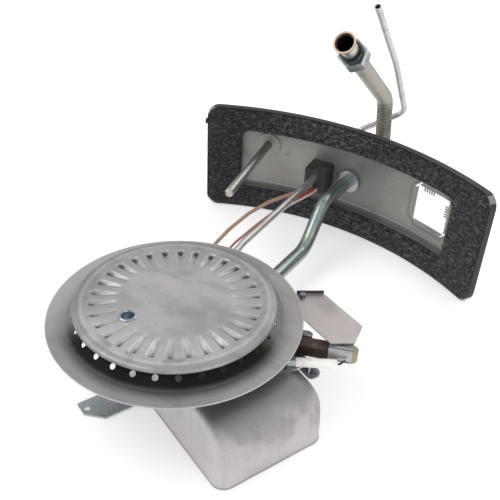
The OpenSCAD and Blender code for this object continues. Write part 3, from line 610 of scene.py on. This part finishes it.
def nut_zinc():
    """Blue-green zinc, darkened where its corners are rubbed; its barrel shows the turns of a thread,
    with painted shade in its grooves.
    """
    s = plated("nut_zinc", (0.36, 0.44, 0.46), (0.46, 0.49, 0.48), 0.32)
    s.tint(s.range(s.edge(), 0.52, 0.6), (0.08, 0.09, 0.09), 0.7)
    ahead = s.axis(FLEX_AXIS, FLEX_END)
    barrel = s.range(ahead, -22.2, -21.8)
    s.tint(barrel, (0.10, 0.10, 0.10), 0.8)
    # Painted shade in the thread's grooves.
    thread = s.both(s.range(s.wave(ahead, THREAD_PITCH), -1, 1), barrel)
    s.tint(thread, (0.02, 0.02, 0.02), 0.8)
    return s.bump(thread, -0.5).material


def red_insulation():
    """Red lead whose skin is baked brown away from the door."""
    s = insulated("red_skin", (0.46, 0.045, 0.03), (0.22, 0.03, 0.02))
    s.tint(s.range(s.axis((0, 1, 0)), 235, 205), (0.33, 0.17, 0.12), 0.9)
    return s.material


zinc_blue = plated("zinc_blue", (0.40, 0.45, 0.48), (0.52, 0.52, 0.50)).material
zinc_grey = plated("zinc_grey", (0.34, 0.36, 0.38), (0.44, 0.43, 0.41)).material
zinc_screw = plated("zinc_screw", (0.26, 0.275, 0.29), (0.36, 0.35, 0.33)).material
union_zinc = plated("union_zinc", (0.24, 0.265, 0.25), (0.30, 0.30, 0.26)).material
inner_steel = sheet_metal("inner_steel", (0.28, 0.275, 0.27), (0.12, 0.115, 0.11)).material
base_sheet = sheet_metal("base_sheet", (0.50, 0.475, 0.48), (0.34, 0.325, 0.33)).material
ribbed_steel = sheet_metal("ribbed_steel", (0.42, 0.42, 0.44), (0.22, 0.22, 0.23), 0.34, 0.9).material
sheath_steel = turned("sheath_steel", (0.30, 0.31, 0.29), (0.93, 0.37, 0)).material
electrode = turned("electrode", (0.06, 0.055, 0.052), (0.85, 0.53, 0)).material
pilot_brass = turned("pilot_brass", (0.66, 0.55, 0.30), (0.93, 0.37, 0)).material
jet_brass = turned("jet_brass", (0.70, 0.57, 0.29), (0.37, 0.93, 0)).material
probe_brass = turned("probe_brass", (0.52, 0.45, 0.26), (-0.23, 0.97, 0)).material
eyelet_steel = plated("eyelet_steel", (0.40, 0.46, 0.52), (0.22, 0.27, 0.34)).material
black_oxide = plated("black_oxide", (0.03, 0.03, 0.032), (0.06, 0.06, 0.07), 0.4).material
tan_skin = insulated("tan_skin", (0.36, 0.245, 0.175), (0.20, 0.13, 0.09)).material
white_skin = insulated("white_skin", (0.58, 0.50, 0.45), (0.32, 0.26, 0.22)).material
flex_coat = flex_steel()
black_rubber = rubber()

MATERIALS = {
    "burner_pan": inner_steel,
    "burner_flange": flange_steel(),
    "neck_sleeve": inner_steel,
    "mixer_base": base_sheet,
    "inlet_bell": inner_steel,
    "cap_eyelet": eyelet_steel,
    "eyelet_washer": eyelet_steel,
    "support_foot": zinc_blue,
    "orifice_bracket": zinc_blue,
    "pilot_bracket": zinc_blue,
    "insulator_clip": zinc_grey,
    "foot_rivets": zinc_grey,
    "bracket_rivets": zinc_grey,
    "pilot_screws": zinc_screw,
    "shield_screw": zinc_screw,
    "gas_tube": gas_tube_steel(),
    "gas_collar": zinc_grey,
    "gas_union": union_zinc,
    "gas_orifice": jet_brass,
    "pilot_shield": shield_sheet(),
    "pilot_burner": pilot_bar_iron(),
    "pilot_port_cap": ribbed_steel,
    "pilot_fitting": pilot_brass,
    "thermopile_nut": pilot_brass,
    "thermopile": sheath_steel,
    "igniter_insulator": ceramic(),
    "igniter_rod": electrode,
    "pilot_tube": drawn_aluminium(),
    "igniter_lead": tan_skin,
    "thermopile_lead_red": red_insulation(),
    "thermopile_lead_white": white_skin,
    "lead_grommet": black_rubber,
    "seal_ring": black_rubber,
    "door_panel": door_paint(),
    "gasket_pins": black_oxide,
    "edge_screw": black_oxide,
    "sensor_probe": probe_steel(),
    "probe_nut": probe_brass,
    "flex_elbow": flex_coat,
    "flex_upper": flex_coat,
    "gas_nut": nut_zinc(),
}

for node_name, material in MATERIALS.items():
    node_mesh = nodes[node_name].data
    node_mesh.materials.clear()
    node_mesh.materials.append(material)


# ---- Burner cap -----------------------------------------------------------------------------

# Radius and height of the cap's profile, from its middle to the foot of its rim.
CAP_HEIGHT = [
    (0, 12.5), (20, 12.2), (34, 12.0), (60.5, 12.0), (62.5, 12.2), (64.5, 12.6), (66.5, 12.85),
    (68.3, 12.5), (70.3, 12.05), (71.4, 11.6), (71.9, 11.1), (72.15, 10.6), (72.3, 10.1),
]
CAP_SHEET = 0.8
TROUGH_COUNT = 30
TROUGH_TURN = 5  # azimuth of the first trough, in degrees
TROUGH_START = 40.0  # radii between which the troughs widen and deepen
TROUGH_END = 61.0
EYELET_AZ = math.radians(246.8)
EYELET = 37.2 * Vector((math.cos(EYELET_AZ), math.sin(EYELET_AZ)))
EYELET_HOLE_R = 5.0


def trough_depth(r, turn):
    """Depth of the pressed trough nearest to a place on the cap: wider and deeper outward."""
    pitch = 360 / TROUGH_COUNT
    away = math.radians((turn - TROUGH_TURN + pitch / 2) % pitch - pitch / 2) * r
    run = max((min(r, TROUGH_END) - TROUGH_START) / (TROUGH_END - TROUGH_START), 0)
    fade_in = smooth_step((r - TROUGH_START + 1) / 5.0)
    fade_out = 1 - smooth_step((r - TROUGH_END + 1.6) / 2.8)
    half = 2.6 + 1.2 * run
    across = min(abs(away) / half, 1.0)
    return (0.5 + 2.5 * run) * (1 - across**2) ** 1.5 * fade_in * fade_out


def unevenness(x, y):
    """Slight waviness of the pressed sheet."""
    broad = noise.noise(Vector((x / 18, y / 18, 0.3)))
    fine = noise.noise(Vector((x / 5, y / 5, 2)))
    return broad * 0.16 + fine * 0.05


def make_cap():
    """Pressed cap as rings of points round its axis, with a hole for the eyelet."""
    radii = steps(0.4, 38, 24) + steps(38.6, 66, 62)[1:] + steps(66.4, 71, 9)[1:]
    radii += [71.3, 71.6, 71.8, 71.95, 72.08, 72.18, 72.25, 72.3]
    columns = TROUGH_COUNT * 22
    points = []
    for r in radii:
        z = along(CAP_HEIGHT, r)
        for j in range(columns):
            turn = 360 * j / columns
            x = r * math.cos(math.radians(turn))
            y = r * math.sin(math.radians(turn))
            wave = unevenness(x, y) * smooth_step((72 - r) / 6)
            points.append((x, y, z - trough_depth(r, turn) + wave))
    faces = []
    for face in grid_faces(len(radii), columns, closed_columns=True):
        middle = sum((Vector(points[i][:2]) for i in face), Vector((0, 0))) / 4
        if (middle - EYELET).length > EYELET_HOLE_R:
            faces.append(face)
    points.append((0, 0, CAP_HEIGHT[0][1] + unevenness(0, 0)))
    faces += [(len(points) - 1, (j + 1) % columns, j) for j in range(columns)]
    cap = new_piece("cap_skin", points, faces, cap_steel(), "assembly")
    solidify(cap, CAP_SHEET)
    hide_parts("burner_cap")


# ---- Mixing chamber hood --------------------------------------------------------------------

HOOD_X = (-26.5, 64.5)
HOOD_Y = (-101.5, 64.0)
HOOD_FLOOR = -74.0
HOOD_TOP = -22.0
HOOD_MIDDLE = Vector((19, -19))
HOOD_DRAFT = 0.016
INLET_YZ = (40, -50)
INLET_R = 15.6


def rounded(distance, radius):
    """How far a surface falls back at a distance from the edge that its round begins on."""
    if distance >= radius:
        return 0.0
    return radius - math.sqrt(max(radius**2 - (radius - distance) ** 2, 0))


def hood_section(y):
    """Section of the hood at y: up one wall, across the top and down the other wall."""
    near, far = y - HOOD_Y[0], HOOD_Y[1] - y
    inset = rounded(near, 10) + rounded(far, 8)
    top = HOOD_TOP - rounded(near, 22) - rounded(far, 8)
    x0, x1 = HOOD_X[0] + inset, HOOD_X[1] - inset
    left = min(8.0, (x1 - x0) / 3)
    right = min(8 + 12 * min(far / 145, 1), (x1 - x0) / 3, top - HOOD_FLOOR - 2)
    points = [(x0, z) for z in steps(HOOD_FLOOR, top - left, 12)]
    points += [quarter(x0 + left, top - left, left, a) for a in steps(180, 90, 10)[1:]]
    points += [(x, top) for x in steps(x0 + left, x1 - right, 20)[1:]]
    points += [quarter(x1 - right, top - right, right, a) for a in steps(90, 0, 16)[1:]]
    points += [(x1, z) for z in steps(top - right, HOOD_FLOOR, 12)[1:]]
    return points


def quarter(x, z, radius, turn):
    """Point on a round edge about (x, z)."""
    a = math.radians(turn)
    return x + radius * math.cos(a), z + radius * math.sin(a)


def hood_point(x, y, z):
    """Puts a slight draft and a few dents into the drawn shape, and turns it into place."""
    rise = (z - HOOD_FLOOR) / (HOOD_TOP - HOOD_FLOOR)
    middle = HOOD_MIDDLE
    draft = 1 - HOOD_DRAFT * rise
    dent = noise.noise(Vector((x / 26, y / 26, z / 20))) * 0.5 * smooth_step(rise * 4)
    p = Vector((middle.x + (x - middle.x) * draft, middle.y + (y - middle.y) * draft, z))
    out = Vector((x - middle.x, y - middle.y, 0)).normalized()
    p -= out * (0.35 + dent * 0.7)
    p.z -= max(dent, 0) * 0.6 * smooth_step((rise - 0.7) / 0.3)
    return MIXER_TURN @ p


def make_hood():
    """Drawn hood as sections along it, closed at both ends and open below."""
    stations = [HOOD_Y[0] + d for d in (0, 0.15, 0.6, 1.4, 2.5, 4, 6, 8, 10, 12.5, 15, 18, 22)]
    stations += steps(HOOD_Y[0] + 25, HOOD_Y[1] - 10, 46)
    stations += [HOOD_Y[1] - d for d in (8, 6, 4.4, 3, 1.8, 0.9, 0.35, 0.08, 0)]
    points = []
    for y in stations:
        points += [hood_point(x, y, z) for x, z in hood_section(y)]
    columns = len(hood_section(0))
    last = (len(stations) - 1) * columns
    faces = [tuple(reversed(f)) for f in grid_faces(len(stations), columns)]
    faces.append(tuple(range(columns)))
    faces.append(tuple(reversed(range(last, last + columns))))
    hood = new_piece("hood_skin", points, faces, hood_steel(), "assembly")
    cut_inlet(hood)
    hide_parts("mixer_hood")


def cut_inlet(hood):
    """Opens the hood's wall at the inlet for gas and air."""
    bpy.ops.mesh.primitive_cylinder_add(vertices=64, radius=INLET_R * MM, depth=24 * MM)
    cutter = bpy.context.object
    place = Matrix.Translation(to_row(MIXER_TURN @ Vector((HOOD_X[1], *INLET_YZ))))
    cutter.matrix_world = place @ MIXER_TURN @ Matrix.Rotation(math.pi / 2, 4, "Y")
    bpy.context.view_layer.update()
    modifier = hood.modifiers.new("inlet", "BOOLEAN")
    modifier.object = cutter
    modifier.operation = "DIFFERENCE"
    modifier.solver = "EXACT"
    depsgraph = bpy.context.evaluated_depsgraph_get()
    cut = bpy.data.meshes.new_from_object(hood.evaluated_get(depsgraph))
    hood.modifiers.clear()
    hood.data = cut
    bpy.data.objects.remove(cutter)


# ---- Door gasket ----------------------------------------------------------------------------

DOOR_R = 281.5
GASKET_T = 7.0
GASKET_BACK = DOOR_R - 0.1
GASKET_FACE = DOOR_R - GASKET_T
# Outlines as two azimuths in degrees, two heights and a corner radius.
GASKET_OUTER = (58.4, 121.55, -73.0, 35.5, 10.0)
GASKET_INNER = (66.9, 114.6, -52.0, 14.0, 8.0)
STRAND_COUNT = 2600
STRAND_FLOOR = -74.5


def rounded_box_path(box, density):
    """Points round a rounded outline on the door, as (arc length, z); density is per millimetre."""
    az0, az1, z0, z1, corner = box
    middle = (math.radians((az0 + az1) / 2) * DOOR_R, (z0 + z1) / 2)
    w = math.radians((az1 - az0) / 2) * DOOR_R - corner
    h = (z1 - z0) / 2 - corner
    centres = [(w, h), (-w, h), (-w, -h), (w, -h)]
    path = []
    for k, (x, z) in enumerate(centres):
        x_from, z_from = centres[k - 1]
        out = (round(math.cos(math.pi / 2 * k)), round(math.sin(math.pi / 2 * k)))
        number = max(round(density * math.hypot(x - x_from, z - z_from)), 1)
        for t in steps(0, 1, number)[:-1]:
            path.append((x_from + (x - x_from) * t + corner * out[0],
                         z_from + (z - z_from) * t + corner * out[1]))
        for turn in steps(90 * k, 90 * k + 90, 8)[:-1]:
            a = math.radians(turn)
            path.append((x + corner * math.cos(a), z + corner * math.sin(a)))
    return [(middle[0] + x, middle[1] + z) for x, z in path]


def on_door(arc, z, r):
    """Point at radius r from the burner's axis, at an arc length along the door."""
    a = arc / DOOR_R
    return Vector((r * math.cos(a), r * math.sin(a), z))


def make_gasket():
    """Fibre frame between its two outlines: a rounded, lumpy face on a flat back."""
    outer = rounded_box_path(GASKET_OUTER, 0.55)
    inner = [nearest_inner(p) for p in outer]
    across = [0.0, 0.02, 0.06] + steps(0.12, 0.88, 9) + [0.94, 0.98, 1.0]
    sides = [(1.0, DOOR_R - 3), (1.0, GASKET_BACK), (0.0, GASKET_BACK), (0.0, DOOR_R - 3)]
    points = []
    for a, b in zip(outer, inner):
        for t in across:
            arc, z = between(a, b, t)
            points.append(on_door(arc, z, gasket_face(arc, z, min(t, 1 - t))))
        for t, r in sides:
            points.append(on_door(*between(a, b, t), r))
    columns = len(across) + len(sides)
    faces = grid_faces(len(outer), columns, closed_rows=True, closed_columns=True)
    gasket = new_piece("gasket_fibre", points, faces, fibre(), "assembly")
    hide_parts("door_gasket")
    make_strands(outer, inner)


def between(a, b, t):
    """Place at the share t of the way from a to b."""
    return a[0] + (b[0] - a[0]) * t, a[1] + (b[1] - a[1]) * t


def gasket_face(arc, z, edge):
    """Radius of the gasket's face: it falls back toward its edges and is lumpy all over."""
    fall = 1.6 * (1 - smooth_step(edge / 0.07))
    lumps = noise.noise(Vector((arc / 5, z / 5, 1)))
    fuzz = noise.noise(Vector((arc / 1.7, z / 1.7, 4)))
    return GASKET_FACE + 0.25 + fall + lumps * 0.35 + fuzz * 0.245


def nearest_inner(point):
    """The place on the gasket's inner outline that faces a place on its outer one."""
    az0, az1, z0, z1, corner = GASKET_INNER
    arc0, arc1 = math.radians(az0) * DOOR_R, math.radians(az1) * DOOR_R
    x = min(max(point[0], arc0 + corner), arc1 - corner)
    z = min(max(point[1], z0 + corner), z1 - corner)
    out = Vector((point[0] - x, point[1] - z)).normalized() * corner
    return x + out.x, z + out.y


def make_strands(outer, inner):
    """Loose fibres that lie on the gasket's face and fringe its edges."""
    points, faces = [], []
    for _ in range(STRAND_COUNT):
        i = random.randrange(len(outer))
        places = [random.random(), random.random()]
        places += [random.uniform(-0.02, 0.03), random.uniform(0.97, 1.02)]
        t = random.choice(places)
        arc, z = between(outer[i], inner[i], t)
        arc += random.uniform(-2, 2)
        fringe = t < 0.03 or t > 0.97
        radius = GASKET_FACE + (1.45 if fringe else 0.05)
        start = len(points)
        points += strand(arc, z, radius)
        faces += [(j, j + 1, j + 3, j + 2) for j in range(start, start + 6, 2)]
    strands = new_piece("gasket_strands", points, faces, strand_fibre(), "assembly")


def strand(arc, z, radius):
    """Pairs of points along one curled, flat fibre of three parts."""
    heading = random.gauss(0, 0.8)
    length = random.uniform(0.8, 3)
    curl = random.uniform(-1.2, 1.2)
    width = random.uniform(0.05, 0.12)
    points = []
    for k in range(4):
        a = heading + curl * k / 3
        along_arc, along_z = math.cos(a), math.sin(a)
        arc += along_arc * length / 3
        z = max(z + along_z * length / 3, STRAND_FLOOR)
        r = radius - random.uniform(0, 0.25)
        points.append(on_door(arc - along_z * width, z + along_arc * width, r))
        points.append(on_door(arc + along_z * width, z - along_arc * width, r))
    return points


# ---- Flexible section -----------------------------------------------------------------------

BELLOWS_R = 6.95
RIDGE_HEIGHT = 0.97
AROUND = 48


def make_bellows():
    """Corrugated tube with full, rounded ridges; it runs straight between the elbow and the upper
    line.
    """
    front = BELLOWS_AXIS.cross(RIGHT)
    rings = steps(0, 1, RIDGES * 12)
    points = []
    for t in rings:
        wave = 0.5 - 0.5 * math.cos(2 * math.pi * RIDGES * t)
        r = BELLOWS_R + RIDGE_HEIGHT * wave**0.8
        centre = BELLOWS_FOOT + BELLOWS_AXIS * BELLOWS_LENGTH * t
        for j in range(AROUND):
            a = 2 * math.pi * j / AROUND
            points.append(centre + (RIGHT * math.cos(a) + front * math.sin(a)) * r)
    faces = [tuple(reversed(f)) for f in grid_faces(len(rings), AROUND, closed_columns=True)]
    bellows = new_piece("bellows_skin", points, faces, flex_coat, None)
    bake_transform(bellows)
    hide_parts("flex_bellows")


make_cap()
make_hood()
make_gasket()
make_bellows()

# ---- Floor, light and camera ----------------------------------------------------------------

CAMERA_PLACE = (263.2, -320.4, 346.3)
CAMERA_AIM = Vector((-0.4383, 0.6922, -0.5733))
CAMERA_ROLL = math.radians(2.83)


def make_floor():
    """Pale floor just below the part, lit a little from itself so that it stays white."""
    s = Surface("studio_floor", (0.93, 0.93, 0.93), 0.75)
    s.tint(s.range(s.noise(3, 3), 0.3, 0.7), (0.90, 0.90, 0.905), 0.5)
    s.shader.inputs["Emission Color"].default_value = (1, 1, 1, 1)
    s.shader.inputs["Emission Strength"].default_value = 0.3
    bpy.ops.mesh.primitive_plane_add(size=8, location=(0, 0, -0.5 * MM))
    floor = bpy.context.object
    floor.name = "floor"
    floor.data.materials.append(s.material)


def make_light(name, place, target, size, power):
    """Square lamp at a place in metres, turned toward its target."""
    light = bpy.data.lights.new(name, "AREA")
    light.size = size
    light.energy = power
    obj = bpy.data.objects.new(name, light)
    bpy.context.scene.collection.objects.link(obj)
    obj.location = place
    aim = Vector(target) - Vector(place)
    obj.rotation_euler = aim.to_track_quat("-Z", "Y").to_euler()


def make_world():
    world = bpy.data.worlds.new("studio")
    bpy.context.scene.world = world
    world.use_nodes = True
    background = world.node_tree.nodes["Background"]
    background.inputs["Color"].default_value = (1, 1, 1, 1)
    background.inputs["Strength"].default_value = 0.7


def make_camera():
    camera = bpy.data.objects.new("camera", bpy.data.cameras.new("camera"))
    bpy.context.scene.collection.objects.link(camera)
    forward = CAMERA_AIM.normalized()
    level = forward.cross(UP).normalized()
    upright = level.cross(forward)
    right = level * math.cos(CAMERA_ROLL) + upright * math.sin(CAMERA_ROLL)
    up = upright * math.cos(CAMERA_ROLL) - level * math.sin(CAMERA_ROLL)
    turn = Matrix((right, up, -forward)).transposed().to_4x4()
    camera.matrix_world = Matrix.Translation(to_row(CAMERA_PLACE)) @ turn
    camera.data.lens = 53.57
    camera.data.sensor_width = 36
    camera.data.clip_start = 0.01
    bpy.context.scene.camera = camera


make_floor()
make_light("key", place=(-0.7, -0.5, 1.3), target=(0, 0.1, 0), size=0.9, power=7)
make_light("fill", place=(1.1, -0.5, 0.8), target=(0, 0.1, 0), size=1.0, power=4)
make_light("back", place=(0.2, 1.3, 1.1), target=(0, 0.2, 0), size=0.9, power=4)
make_world()
make_camera()
bpy.context.scene.view_settings.view_transform = "Standard"
